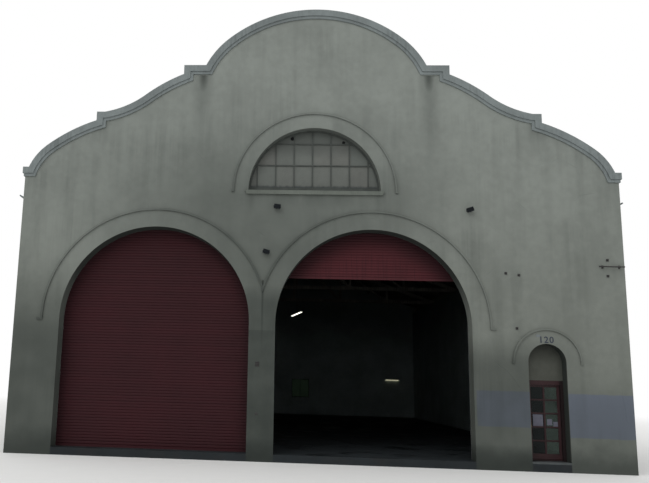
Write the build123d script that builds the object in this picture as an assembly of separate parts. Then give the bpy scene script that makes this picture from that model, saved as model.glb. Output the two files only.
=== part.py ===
from build123d import *
import math
import os

os.makedirs("parts", exist_ok=True)

# Whole building. X runs along the street front, Y runs into the building, Z is up.
# Z = 0 is the lowest ground at the walls, and the origin is the middle of the footprint.
depth = 30500
front_wall_t = 480
side_wall_t = 400
rear_wall_t = 400
floor_t = 200

# Street front from left to right: pier, arch, pier, arch, pier, foot door, corner pier
left_pier_w = 1296
middle_pier_w = 727
right_pier_w = 1444
corner_pier_w = 1667
arch_r = 2667
arch_spring_z = 3712
arch_cover = 621
door_half_w = 499
door_spring_z = 2827

# Half-round window in the gable. The gable starts at the course over the arches.
lunette_r = 1872
lunette_sill_up = 475
lunette_sill_t = 115
lunette_sill_reach = 100
lunette_sill_taper = 60
lunette_sill_nose = 60
lunette_setback = 250
lunette_bars_off = -45
lunette_bars_x = 530
lunette_bars_z = (815, 1465)
lunette_bar_w = 30
lunette_bar_t = 30
lunette_rim_w = 50
lunette_rail_h = 150
glass_t = 6

# Curved parapet, given for the right half and mirrored: steps from the end in to the crown
end_wall_h = 1086
end_ear_w = 110
cheek_run = 504
cheek_rise = 670
shoulder_run = 1408
shoulder_rise = 764
shoulder_bend = 9.5
kneeler_w = 241
kneeler_rise = 266
ogee_rise = 1182
ogee_bend = 10.7
swell_run_share = 0.481
swell_fall_share = 0.5465
ear_w = 650
ear_rise = 278
haunch_run = 645
haunch_rise = 824
crown_r = 3975
crown_angle = 40
arc_margin = 10

# Moulded coping: a deep fascia over a thin band
fascia_h = 186
fascia_out = 65
band_h = 86
band_out = 35

# Raised bead round each arch, with a hook at its foot
bead_w = 50
bead_out = 45
arch_hook = 110
small_hook = 25
lunette_bead_r = 2326
arch_bead_r = 3195
door_bead_r = 907
door_bead_w = 45

# Gable roof behind the parapet
roof_pitch = 19
eaves_up = 200
roof_t = 60
ridge_cap_w = 420
ridge_cap_t = 40

# Gutter cornice along both eaves
gutter_out = 290
gutter_h = 172
gutter_wall_t = 28
gutter_lip = 35

# Roof timbers
bearing_drop = 250
bearing_w = 200
truss_count = 4
truss_t = 150
panels_per_side = 3
chord_h = 180
web_w = 110
purlin_h = 160
purlin_w = 110
purlins_per_side = 4
ridge_beam_w = 120

# Pilasters on the long sides and the window in the rear wall
pilaster_w = 600
pilaster_out = 90
pilaster_drop = 35
rear_window_x = 630
rear_window_w = 1120
rear_window_sill_z = 1300
rear_window_h = 1160
rear_window_bars = 1
rear_bar_w = 40

# Roller shutters, which run in guides behind the front wall
shutter_lap = 55
slat_pitch = 80
slat_rib = 14
slat_slope = 18
slat_t = 4
curtain_gap = 20
guide_w = 65
guide_d = 60
guide_t = 6
guide_play = 6
guide_over = 141
right_shutter_open = 4832
bottom_bar_h = 70
bottom_bar_t = 34
empty_coil_r = 110
full_coil_r = 175
coil_sides = 16
shaft_r = 40
shaft_sides = 8
bracket_t = 14
bracket_lap = 30

# Foot door frame and leaf
door_setback = 350
frame_d = 110
frame_w = 62
frame_head_h = 104
frame_head_top_z = 2360
frame_stop_w = 14
leaf_t = 45
leaf_play = 7
stile_w = 78
bottom_rail_h = 165
top_rail_h = 60
mullion_w = 30
light_bar_h = 24
light_rows = 5
pane_t = 5
threshold_t = 48
leaf_lift = 12
pin_r = 5
pin_play = 0.4
knuckle_r = 9
knuckle_gap = 1
hinge_h = 110
hinge_plate_w = 38
hinge_plate_t = 3
hinge_sides = 12
hinge_inset = 230
knob_z = 1150
knob_r = 27
knob_sides = 12
knob_bevel = 10
knob_t = 32
knob_neck_r = 10
knob_neck_len = 34
knob_plate_w = 56
knob_plate_h = 190
knob_plate_t = 4
infill_t = 60

# Lamps and brackets on the front, strip lights inside
floodlight_w = 190
floodlight_h = 120
floodlight_d = 95
floodlight_back_w = 154
floodlight_back_h = 88
floodlight_arm = 60
floodlight_arm_w = 50
floodlight_spots = ((368, -14, -7), (80, -1315, -17), (5708, -34, 19))
pipe_bracket_in = 37
pipe_bracket_len = 665
pipe_bracket_up = 1728
pipe_bracket_r = 18
pipe_bracket_sides = 12
pipe_bracket_out = 90
pipe_foot_in = 110
pipe_foot_w = 30
strip_len = 2180
strip_w = 90
strip_h = 70
strip_turn = -80
strip_x = -135
strip_z = 5116
strip_stem_w = 24
rear_strip_len = 900
rear_strip_in = 1420
rear_strip_z = 2570

# Values that follow from the ones above
width = left_pier_w + middle_pier_w + right_pier_w + corner_pier_w + 4 * arch_r + 2 * door_half_w
half_w = width / 2
front_y = -depth / 2
rear_y = depth / 2
front_back_y = front_y + front_wall_t
rear_front_y = rear_y - rear_wall_t
inner_x = half_w - side_wall_t
left_arch_x = left_pier_w + arch_r - half_w
right_arch_x = left_arch_x + 2 * arch_r + middle_pier_w
pier_x = (left_arch_x + right_arch_x) / 2
door_x0 = right_arch_x + arch_r + right_pier_w
door_x1 = door_x0 + 2 * door_half_w
door_x = door_x0 + door_half_w
course_z = arch_spring_z + arch_r + arch_cover
lunette_sill_z = course_z + lunette_sill_up
coping_h = fascia_h + band_h
eaves_z = course_z + eaves_up
bearing_z = eaves_z - bearing_drop
ledge_x = half_w - bearing_w
rise = math.tan(math.radians(roof_pitch))
guide_top_z = arch_spring_z + arch_r + guide_over
right_shutter_z = floor_t + right_shutter_open
curtain_y = front_back_y + curtain_gap
curtain_depth = slat_rib + slat_t
frame_y = front_y + door_setback
frame_back_y = frame_y + frame_d

# Points of the parapet line, from the end in to the crown
end_ear = (half_w - end_ear_w, course_z + end_wall_h)
shoulder = (end_ear[0] - cheek_run, end_ear[1] + cheek_rise)
kneeler_foot = (shoulder[0] - shoulder_run, shoulder[1] + shoulder_rise)
kneeler = (kneeler_foot[0] - kneeler_w, kneeler_foot[1] + kneeler_rise)
crown_end_x = crown_r * math.sin(math.radians(crown_angle))
ear = (crown_end_x + haunch_run, kneeler[1] + ogee_rise + ear_rise)
ear_foot = (ear[0] + ear_w, kneeler[1] + ogee_rise)
ogee_mid = (ear_foot[0] + swell_run_share * (kneeler[0] - ear_foot[0]),
            ear_foot[1] - swell_fall_share * ogee_rise)
crown_end = (crown_end_x, ear[1] + haunch_rise)
apex_z = crown_end[1] + crown_r * (1 - math.cos(math.radians(crown_angle)))


def save(name, shape):
    export_step(shape, f"parts/{name}.step")


def save_set(name, shapes):
    """Like pieces that don't touch each other, in one node."""
    save(name, Compound(children=[solid for shape in shapes for solid in shape.solids()]))


def block(x0, x1, y0, y1, z0, z1):
    """A box between two corners."""
    return Pos((x0 + x1) / 2, (y0 + y1) / 2, (z0 + z1) / 2) * Box(x1 - x0, y1 - y0, z1 - z0)


def rect(x0, x1, z0, z1):
    """A rectangle in the front plane."""
    return Pos((x0 + x1) / 2, (z0 + z1) / 2) * Rectangle(x1 - x0, z1 - z0)


def disc(x, z, r):
    return Pos(x, z) * Circle(r)


def along_y(sketch, y0, y1):
    """A sketch of the front plane, given thickness from y0 to y1."""
    return Pos(0, y1, 0) * extrude(Plane.XZ * sketch, amount=y1 - y0, dir=(0, -1, 0))


def along_x(sketch, x0, x1):
    """A sketch of the side plane, given length from x0 to x1."""
    return Pos(x0, 0, 0) * extrude(Plane.YZ * sketch, amount=x1 - x0, dir=(1, 0, 0))


def along_z(sketch, z0, z1):
    return Pos(0, 0, z0) * extrude(sketch, amount=z1 - z0)


def taper_y(near, near_y, far, far_y):
    """A straight-sided solid between two sketches of the front plane."""
    return loft([Pos(0, near_y, 0) * (Plane.XZ * near), Pos(0, far_y, 0) * (Plane.XZ * far)],
                ruled=True)


def polygon_across(r, sides):
    """A regular polygon with flats on its four sides, r from its middle."""
    return RegularPolygon(r, sides, major_radius=False, rotation=180 / sides)


def roof_z(x):
    """Height of the roof's underside over a point of the front plane."""
    return eaves_z + (half_w - abs(x)) * rise


def truss_z(x):
    """Height of the trusses' top, where the purlins lie."""
    return roof_z(x) - purlin_h


def fall(start, end):
    """Angle below level of the straight line between two points."""
    return math.degrees(math.atan2(start[1] - end[1], end[0] - start[0]))


def arc_from(start, heading, end):
    """Centre and radius of the arc that leaves a point at a heading and ends at another."""
    turn = math.radians(heading)
    arc = TangentArc(start, end, tangent=(math.cos(turn), math.sin(turn)))
    return arc.arc_center, arc.radius


def under(curves, end_x, low, top):
    """The face under a chain of curves, kept within end_x of the middle and below top."""
    first = curves[0] @ 0
    last = curves[-1] @ 1
    closing = Polyline(last, (last.X, low), (first.X, low), first)
    return make_face(Curve() + curves + [closing]) & rect(-end_x, end_x, low, top)


def parapet(inset):
    """Everything under the parapet line, set in by an even amount with mitred corners."""
    low = course_z - coping_h
    reach = half_w + coping_h
    ogee_fall = fall(ear_foot, kneeler) + ogee_bend
    shoulder_fall = fall(kneeler_foot, shoulder) + shoulder_bend
    haunch_c, haunch_r = arc_from(crown_end, -crown_angle, ear)
    swell_c, swell_r = arc_from(ogee_mid, 180 - ogee_fall, ear_foot)
    hollow_c, hollow_r = arc_from(ogee_mid, -ogee_fall, kneeler)
    shoulder_c, shoulder_r = arc_from(shoulder, 180 - shoulder_fall, kneeler_foot)
    cheek_c, cheek_r = arc_from(shoulder, -shoulder_fall, end_ear)
    crown = [CenterArc((0, apex_z - crown_r), crown_r - inset, 90, -crown_angle),
             CenterArc(haunch_c, haunch_r - inset, 90 - crown_angle, arc_margin + crown_angle - 90)]
    ogee = [CenterArc(swell_c, swell_r - inset, 90 - arc_margin, arc_margin - ogee_fall),
            CenterArc(hollow_c, hollow_r + inset, 270 - ogee_fall, ogee_fall)]
    sweep_down = [CenterArc(shoulder_c, shoulder_r - inset, 90 - arc_margin,
                            arc_margin - shoulder_fall),
                  CenterArc(cheek_c, cheek_r - inset, 90 - shoulder_fall,
                            arc_margin + shoulder_fall - 90)]
    half = under(crown, reach, low, apex_z)
    half += rect(0, ear_foot[0] - inset, low, ear[1] - inset)
    half += under(ogee, kneeler_foot[0] - inset, low, ear[1] - inset)
    half += rect(0, kneeler_foot[0] - inset, low, kneeler[1] - inset)
    half += under(sweep_down, reach, low, kneeler[1] - inset)
    half += rect(0, reach, low, end_ear[1] - inset)
    return half + mirror(half, Plane.YZ)


def arch_sketch(x, r, spring_z, foot_z):
    return rect(x - r, x + r, foot_z, spring_z) + disc(x, spring_z, r)


def front_walls():
    """Street wall: piers, spandrels and the gable, one course on another."""
    left = left_pier_w - half_w
    right = right_arch_x + arch_r
    door = arch_sketch(door_x, door_half_w, door_spring_z, 0)
    pieces = {
        "front_left_pier": rect(-half_w, left, 0, arch_spring_z),
        "front_middle_pier": rect(pier_x - middle_pier_w / 2, pier_x + middle_pier_w / 2, 0,
                                  arch_spring_z),
        "front_right_pier": rect(right, door_x0, 0, door_spring_z),
        "front_corner_pier": rect(door_x1, half_w, 0, door_spring_z),
        "front_door_arch": rect(right, half_w, door_spring_z, arch_spring_z) - door,
        "front_left_spandrel": rect(-half_w, pier_x, arch_spring_z, course_z)
        - disc(left_arch_x, arch_spring_z, arch_r),
        "front_right_spandrel": rect(pier_x, half_w, arch_spring_z, course_z)
        - disc(right_arch_x, arch_spring_z, arch_r),
    }
    for name, sketch in pieces.items():
        save(name, along_y(sketch, front_y, front_back_y))


def gable_and_coping():
    """Gable under the curved parapet, and the moulding that caps it."""
    outline = parapet(0)
    under_fascia = parapet(fascia_h)
    under_band = parapet(coping_h)
    lunette = disc(0, lunette_sill_z, lunette_r) & rect(-half_w, half_w, lunette_sill_z, apex_z)
    gable = (under_fascia & rect(-half_w, half_w, course_z, apex_z)) - lunette - sill_sketch()
    save("front_gable", along_y(gable, front_y, front_back_y))
    fascia_x = half_w + fascia_out
    band_x = half_w + band_out
    fascia = (outline - under_fascia) & rect(-fascia_x, fascia_x, course_z, apex_z)
    band = (under_fascia - under_band) & rect(-band_x, band_x, course_z, apex_z)
    returns = band & (rect(half_w, band_x, course_z, apex_z)
                      + rect(-band_x, -half_w, course_z, apex_z))
    coping = along_y(fascia, front_y - fascia_out, front_back_y + fascia_out)
    coping += along_y(band, front_y - band_out, front_y)
    coping += along_y(returns, front_y, front_back_y)
    save("parapet_coping", coping)


def sill_sketch():
    """The window sill seen from the street, with ends that slope in underneath."""
    top_x = lunette_r + lunette_sill_reach
    foot_x = top_x - lunette_sill_taper
    foot_z = lunette_sill_z - lunette_sill_t
    return Polygon((-foot_x, foot_z), (foot_x, foot_z), (top_x, lunette_sill_z),
                   (-top_x, lunette_sill_z), align=None)


def bead(x, spring_z, r, w, hook, keep):
    """A half ring on the wall, with feet that turn outward by a hook."""
    ring = (disc(x, spring_z, r) - disc(x, spring_z, r - w)) & rect(x - r, x + r, spring_z, apex_z)
    feet = (rect(x - r - hook, x - r + w, spring_z - w, spring_z)
            + rect(x + r - w, x + r + hook, spring_z - w, spring_z))
    return (ring + feet) & keep


def hood_mouldings():
    """Raised beads over the window, the twin arches and the foot door."""
    everywhere = rect(-half_w, half_w, 0, apex_z)
    left_half = rect(-half_w, pier_x, 0, apex_z)
    right_half = rect(pier_x, half_w, 0, apex_z)
    twin = bead(left_arch_x, arch_spring_z, arch_bead_r, bead_w, arch_hook, left_half)
    twin += bead(right_arch_x, arch_spring_z, arch_bead_r, bead_w, arch_hook, right_half)
    beads = [bead(0, lunette_sill_z, lunette_bead_r, bead_w, small_hook, everywhere), twin,
             bead(door_x, door_spring_z, door_bead_r, door_bead_w, small_hook, everywhere)]
    save_set("hood_mouldings", [along_y(sketch, front_y - bead_out, front_y) for sketch in beads])


def lunette_window():
    """Sill, steel sash and glass of the half-round window."""
    save("lunette_sill", along_y(sill_sketch(), front_y - lunette_sill_nose, front_back_y))
    above_sill = rect(-lunette_r, lunette_r, lunette_sill_z, lunette_sill_z + lunette_r)
    opening = disc(0, lunette_sill_z, lunette_r) & above_sill
    rim = opening - (disc(0, lunette_sill_z, lunette_r - lunette_rim_w)
                     & rect(-lunette_r, lunette_r, lunette_sill_z + lunette_rail_h, apex_z))
    half_bar = lunette_bar_w / 2
    bars = rim
    for step in range(-3, 4):
        x = lunette_bars_off + step * lunette_bars_x
        bars += rect(x - half_bar, x + half_bar, lunette_sill_z, lunette_sill_z + lunette_r) & opening
    for up in lunette_bars_z:
        z = lunette_sill_z + up
        bars += rect(-lunette_r, lunette_r, z - half_bar, z + half_bar) & opening
    sash_y = front_y + lunette_setback
    save("lunette_sash", along_y(bars, sash_y, sash_y + lunette_bar_t))
    save("lunette_glass", along_y(opening, sash_y + lunette_bar_t, sash_y + lunette_bar_t + glass_t))


def side_walls():
    """Long walls with a bearing ledge for the trusses and shallow pilasters outside."""
    section = Polygon((half_w, 0), (half_w, eaves_z), (ledge_x, roof_z(ledge_x)), (ledge_x, bearing_z),
                      (inner_x, bearing_z), (inner_x, 0), align=None)
    wall = along_y(section, front_back_y, rear_y)
    for y in truss_places() + [rear_y - pilaster_w / 2]:
        wall += block(half_w, half_w + pilaster_out, y - pilaster_w / 2, y + pilaster_w / 2,
                      0, eaves_z - pilaster_drop)
    save("side_wall_right", wall)
    save("side_wall_left", mirror(wall, Plane.YZ))


def truss_places():
    bay = (rear_front_y - front_back_y) / (truss_count + 1)
    return [front_back_y + bay * (i + 1) for i in range(truss_count)]


def rear_wall():
    """Plain gable wall with one window, under the roof, that closes the bearing ledges."""
    half = Polygon((0, 0), (inner_x, 0), (inner_x, bearing_z), (ledge_x, bearing_z),
                   (ledge_x, roof_z(ledge_x)), (0, roof_z(0)), align=None)
    outline = half + mirror(half, Plane.YZ)
    x0 = rear_window_x - rear_window_w / 2
    x1 = rear_window_x + rear_window_w / 2
    z0 = rear_window_sill_z
    z1 = rear_window_sill_z + rear_window_h
    window = rect(x0, x1, z0, z1)
    save("rear_wall", along_y(outline - window, rear_front_y, rear_y))
    bars = window - rect(x0 + rear_bar_w, x1 - rear_bar_w, z0 + rear_bar_w, z1 - rear_bar_w)
    for i in range(rear_window_bars):
        mid = x0 + rear_window_w * (i + 1) / (rear_window_bars + 1)
        bars += rect(mid - rear_bar_w / 2, mid + rear_bar_w / 2, z0, z1)
    sash_y = rear_front_y + rear_wall_t / 2
    save("rear_window_bars", along_y(bars, sash_y, sash_y + rear_bar_w))
    save("rear_window_glass", along_y(window, sash_y + rear_bar_w, sash_y + rear_bar_w + glass_t))


def floor_slab():
    """Floor inside the walls, with a tongue into each carriage arch and the door."""
    slab = block(-inner_x, inner_x, front_back_y, rear_front_y, 0, floor_t)
    for x, half in ((left_arch_x, arch_r), (right_arch_x, arch_r), (door_x, door_half_w)):
        slab += block(x - half, x + half, front_y, front_back_y, 0, floor_t)
    save("floor_slab", slab)


def roof():
    """Two slopes that butt against the front gable, a ridge cap and the gutters."""
    skin = roof_t / math.cos(math.radians(roof_pitch))
    slope = Polygon((0, roof_z(0)), (half_w, eaves_z), (half_w, eaves_z + skin),
                    (0, roof_z(0) + skin), align=None)
    right = along_y(slope, front_back_y, rear_y)
    save("roof_slope_right", right)
    save("roof_slope_left", mirror(right, Plane.YZ))
    ridge_z = roof_z(0) + skin
    drop = ridge_cap_w / 2 * rise
    cap = Polygon((-ridge_cap_w / 2, ridge_z - drop), (0, ridge_z), (ridge_cap_w / 2, ridge_z - drop),
                  (ridge_cap_w / 2, ridge_z - drop + ridge_cap_t), (0, ridge_z + ridge_cap_t),
                  (-ridge_cap_w / 2, ridge_z - drop + ridge_cap_t), align=None)
    save("ridge_cap", along_y(cap, front_back_y, rear_y))


def roof_timbers():
    """Trusses on the side walls, purlins and ridge beam under the roof."""
    chord_drop = chord_h / math.cos(math.radians(roof_pitch))
    under_roof = Polygon((-ledge_x, bearing_z), (ledge_x, bearing_z), (ledge_x, truss_z(ledge_x)),
                         (0, truss_z(0)), (-ledge_x, truss_z(ledge_x)), align=None)
    truss = Polygon((-ledge_x, truss_z(ledge_x) - chord_drop), (0, truss_z(0) - chord_drop),
                    (ledge_x, truss_z(ledge_x) - chord_drop), (ledge_x, truss_z(ledge_x)),
                    (0, truss_z(0)), (-ledge_x, truss_z(ledge_x)), align=None)
    truss += rect(-ledge_x, ledge_x, bearing_z, bearing_z + chord_h)
    panel = ledge_x / panels_per_side
    for i in range(1 - panels_per_side, panels_per_side):
        truss += rect(i * panel - web_w / 2, i * panel + web_w / 2, bearing_z, truss_z(i * panel))
    for i in range(1, panels_per_side):
        diagonal = brace(i * panel, (i - 1) * panel)
        truss += diagonal + mirror(diagonal, Plane.YZ)
    truss = truss & under_roof
    for number, y in enumerate(truss_places(), start=1):
        save(f"roof_truss_{number}", along_y(truss, y - truss_t / 2, y + truss_t / 2))
    purlins = []
    for i in range(purlins_per_side):
        x = half_w * (i + 1) / (purlins_per_side + 1)
        x0 = x - purlin_w / 2
        x1 = x + purlin_w / 2
        stick = Polygon((x0, roof_z(x0)), (x1, roof_z(x1)), (x1, truss_z(x1)), (x0, truss_z(x0)),
                        align=None)
        purlins.append(along_y(stick, front_back_y, rear_front_y))
    save_set("purlins", purlins + [mirror(purlin, Plane.YZ) for purlin in purlins])
    x = ridge_beam_w / 2
    ridge = Polygon((-x, roof_z(x)), (0, roof_z(0)), (x, roof_z(x)), (x, truss_z(x)),
                    (0, truss_z(0)), (-x, truss_z(x)), align=None)
    save("ridge_beam", along_y(ridge, front_back_y, rear_front_y))


def brace(foot_x, head_x):
    """A diagonal from the foot of one post to the head of the next one in."""
    foot = Vector(foot_x, bearing_z + chord_h / 2)
    head = Vector(head_x, truss_z(head_x) - chord_h / 2)
    line = head - foot
    mid = (foot + head) / 2
    turn = math.degrees(math.atan2(line.Y, line.X))
    return Pos(mid.X, mid.Y) * Rot(0, 0, turn) * Rectangle(line.length, web_w)


def gutters():
    """Open eaves gutters with a sloping underside, planted on the long walls."""
    x0 = half_w
    x1 = half_w + gutter_out
    top_z = eaves_z + gutter_h
    t = gutter_wall_t
    outer = Polygon((x0, eaves_z), (x1, top_z - gutter_lip), (x1, top_z), (x0, top_z), align=None)
    trough = Polygon((x0 + t, eaves_z + 2 * t), (x1 - t, top_z - gutter_lip + t), (x1 - t, top_z),
                     (x0 + t, top_z), align=None)
    slot_z = eaves_z + roof_t
    outer -= rect(x0, x0 + t, slot_z, top_z)
    gutter = along_y(outer - trough, front_back_y, rear_y)
    save_set("gutters", [gutter, mirror(gutter, Plane.YZ)])


def curtain(x0, x1, z0, z1):
    """A slatted curtain, flat at the back: each slat stands proud of the hinge beside it."""
    slats = math.ceil((z1 - z0) / slat_pitch)
    pitch = (z1 - z0) / slats
    front = [(0, z0)]
    for i in range(slats):
        z = z0 + i * pitch
        front += [(-slat_rib, z + slat_slope), (-slat_rib, z + pitch - slat_slope), (0, z + pitch)]
    sheet = Polygon(*front, (slat_t, z1), (slat_t, z0), align=None)
    return Pos(0, curtain_y + slat_rib, 0) * along_x(sheet, x0, x1)


def coil(x0, x1, y, z, r):
    """A rolled curtain on its shaft, which runs from one bracket to the other."""
    roll = along_x(Pos(y, z) * polygon_across(r, coil_sides), x0, x1)
    shaft = Pos(y, z) * polygon_across(shaft_r, shaft_sides)
    return roll + along_x(shaft, x0 - guide_play, x1 + guide_play)


def shutters():
    """Two roller shutters: curtain, bottom bar, guides, coil and end brackets."""
    bars = []
    guides = []
    brackets = []
    places = (("left", left_arch_x, floor_t, empty_coil_r),
              ("right", right_arch_x, right_shutter_z, full_coil_r))
    for side, arch_x, foot_z, coil_r in places:
        x0 = arch_x - arch_r - shutter_lap
        x1 = arch_x + arch_r + shutter_lap
        axis_y = curtain_y + curtain_depth + coil_r
        axis_z = guide_top_z + coil_r
        save(f"shutter_{side}_curtain", curtain(x0, x1, foot_z + bottom_bar_h, axis_z))
        save(f"shutter_{side}_coil", coil(x0, x1, axis_y, axis_z, coil_r))
        bar_y = curtain_y + (curtain_depth - bottom_bar_t) / 2
        bars.append(block(x0, x1, bar_y, bar_y + bottom_bar_t, foot_z, foot_z + bottom_bar_h))
        guide = guide_channel(x0)
        guides += [guide, other_side(guide, arch_x)]
        plate = block(x0 - guide_play - bracket_t, x0 - guide_play, front_back_y,
                      axis_y + coil_r + bracket_lap, guide_top_z, axis_z + coil_r + bracket_lap)
        brackets += [plate, other_side(plate, arch_x)]
    save_set("shutter_bottom_bars", bars)
    save_set("shutter_guides", guides)
    save_set("shutter_brackets", brackets)


def guide_channel(x0):
    """A steel channel behind the jamb, open toward the arch, that holds the curtain's edge."""
    back_x = x0 - guide_play - guide_t
    back_y = front_back_y + guide_d
    channel = rect(back_x, back_x + guide_w, front_back_y, back_y)
    channel -= rect(x0 - guide_play, back_x + guide_w, front_back_y + guide_t, back_y - guide_t)
    return along_z(channel, floor_t, guide_top_z)


def other_side(shape, middle_x):
    """The same piece mirrored about the middle of its arch."""
    return Pos(2 * middle_x, 0, 0) * mirror(shape, Plane.YZ)


def door_frame():
    """Frame with a stop, the plain panel over it and the threshold."""
    opening = rect(door_x0, door_x1, floor_t + threshold_t, frame_head_top_z)
    leaf_hole = rect(door_x0 + frame_w, door_x1 - frame_w, floor_t + threshold_t,
                     frame_head_top_z - frame_head_h)
    stop_hole = rect(door_x0 + frame_w + frame_stop_w, door_x1 - frame_w - frame_stop_w,
                     floor_t + threshold_t, frame_head_top_z - frame_head_h - frame_stop_w)
    split_y = frame_back_y - leaf_t - leaf_play
    frame = along_y(opening - leaf_hole, split_y, frame_back_y)
    frame += along_y(opening - stop_hole, frame_y, split_y)
    save("door_frame", frame)
    panel = (arch_sketch(door_x, door_half_w, door_spring_z, frame_head_top_z)
             & rect(door_x0, door_x1, frame_head_top_z, arch_spring_z))
    save("door_infill_panel", along_y(panel, frame_y, frame_y + infill_t))
    save("door_threshold", block(door_x0, door_x1, front_y, front_back_y, floor_t,
                                 floor_t + threshold_t))


def door_leaf():
    """Glazed leaf of two columns and five rows, hinged on its right edge to swing inward."""
    x0 = door_x0 + frame_w + leaf_play
    x1 = door_x1 - frame_w - leaf_play
    z0 = floor_t + threshold_t + leaf_lift
    z1 = frame_head_top_z - frame_head_h - leaf_play
    y0 = frame_back_y - leaf_t
    y1 = frame_back_y
    glass_x0 = x0 + stile_w
    glass_x1 = x1 - stile_w
    glass_z0 = z0 + bottom_rail_h
    glass_z1 = z1 - top_rail_h
    lights = []
    light_w = (glass_x1 - glass_x0 - mullion_w) / 2
    light_h = (glass_z1 - glass_z0 - (light_rows - 1) * light_bar_h) / light_rows
    for column in range(2):
        for row in range(light_rows):
            lx = glass_x0 + column * (light_w + mullion_w)
            lz = glass_z0 + row * (light_h + light_bar_h)
            lights.append(rect(lx, lx + light_w, lz, lz + light_h))
    frame = rect(x0, x1, z0, z1)
    for light in lights:
        frame -= light
    save("door_leaf", along_y(frame, y0, y1))
    mid_y = (y0 + y1) / 2
    save_set("door_panes", [along_y(light, mid_y - pane_t / 2, mid_y + pane_t / 2)
                            for light in lights])
    knob = knob_half(x0 + stile_w / 2, y0)
    save_set("door_knobs", [knob, Pos(0, y0 + y1, 0) * mirror(knob, Plane.XZ)])


def knob_half(x, face_y):
    """Long plate, neck and bevelled twelve-sided knob on the street face of the leaf."""
    neck_y = face_y - knob_plate_t - knob_neck_len
    knob = block(x - knob_plate_w / 2, x + knob_plate_w / 2, face_y - knob_plate_t, face_y,
                 knob_z - knob_plate_h / 2, knob_z + knob_plate_h / 2)
    knob += along_y(Pos(x, knob_z) * polygon_across(knob_neck_r, knob_sides), neck_y, face_y)
    grip = along_y(Pos(x, knob_z) * polygon_across(knob_r, knob_sides), neck_y - knob_t, neck_y)
    return knob + chamfer(grip.edges().group_by(Axis.Y)[0], knob_bevel)


def door_hinges():
    """Two lift-off hinges on the room side: pin and barrel on the frame, sleeve on the leaf."""
    pin_x = door_x1 - frame_w - leaf_play / 2
    pin_y = frame_back_y + knuckle_r
    low = floor_t + threshold_t + leaf_lift + hinge_inset
    high = frame_head_top_z - frame_head_h - leaf_play - hinge_inset
    plate_y = frame_back_y + hinge_plate_t
    hole = Pos(pin_x, pin_y) * Circle(pin_r + pin_play)
    barrel = Pos(pin_x, pin_y) * RegularPolygon(knuckle_r, hinge_sides)
    pin = Pos(pin_x, pin_y) * RegularPolygon(pin_r, hinge_sides)
    sleeve = (barrel + rect(pin_x - hinge_plate_w, pin_x, frame_back_y, plate_y)) - hole
    posts = []
    sleeves = []
    for mid_z in (low, high):
        foot_z = mid_z - hinge_h / 2
        top_z = mid_z + hinge_h / 2
        post = along_z(barrel, foot_z, mid_z)
        post += along_z(pin, mid_z, top_z)
        post += block(pin_x, pin_x + hinge_plate_w, frame_back_y, plate_y, foot_z, mid_z)
        posts.append(post)
        sleeves.append(along_z(sleeve, mid_z + knuckle_gap, top_z))
    save_set("door_hinge_posts", posts)
    save_set("door_hinge_knuckles", sleeves)


def wall_fixtures():
    """Floodlights and a pipe bracket on the street front."""
    lamp_y = front_y - floodlight_arm
    lamps = []
    for out, up, tilt in floodlight_spots:
        x = pier_x + out
        z = course_z + up
        place = Pos(x, z) * Rot(0, 0, tilt)
        lamp = taper_y(place * Rectangle(floodlight_w, floodlight_h), lamp_y - floodlight_d,
                       place * Rectangle(floodlight_back_w, floodlight_back_h), lamp_y)
        lamps.append(lamp + block(x - floodlight_arm_w / 2, x + floodlight_arm_w / 2, lamp_y, front_y,
                                  z - floodlight_arm_w / 2, z + floodlight_arm_w / 2))
    save_set("floodlights", lamps)
    x1 = half_w - pipe_bracket_in
    x0 = x1 - pipe_bracket_len
    y = front_y - pipe_bracket_out
    z = arch_spring_z + pipe_bracket_up
    bracket = along_x(Pos(y, z) * polygon_across(pipe_bracket_r, pipe_bracket_sides), x0, x1)
    for x in (x0 + pipe_foot_in, x1 - pipe_foot_in):
        bracket += block(x - pipe_foot_w / 2, x + pipe_foot_w / 2, y, front_y, z - pipe_foot_w / 2,
                         z + pipe_foot_w / 2)
    save("pipe_bracket", bracket)


def strip_lights():
    """One strip light under a truss, one on the rear wall."""
    truss_y = truss_places()[1]
    lamp = Rot(0, 0, strip_turn) * Box(strip_len, strip_w, strip_h)
    stem = Pos(strip_x, truss_y) * Rectangle(strip_stem_w, strip_stem_w)
    hung = Pos(strip_x, truss_y, strip_z) * lamp + along_z(stem, strip_z, bearing_z)
    x = inner_x - rear_strip_in
    half_len = rear_strip_len / 2
    rear = block(x - half_len, x + half_len, rear_front_y - strip_w, rear_front_y,
                 rear_strip_z - strip_h / 2, rear_strip_z + strip_h / 2)
    save_set("strip_lights", [hung, rear])


front_walls()
gable_and_coping()
hood_mouldings()
lunette_window()
side_walls()
rear_wall()
floor_slab()
roof()
gutters()
roof_timbers()
shutters()
door_frame()
door_leaf()
door_hinges()
wall_fixtures()
strip_lights()
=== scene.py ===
"""Finishes and small pieces for a streetcar barn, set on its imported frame."""
from functools import partialmethod
from math import atan, cos, floor, pi, radians, sin

import bmesh
import bpy
from bpy.props import FloatProperty, FloatVectorProperty, PointerProperty, StringProperty
from bpy.types import Operator, Panel, PropertyGroup, Scene
from mathutils import Matrix, Vector


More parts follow.
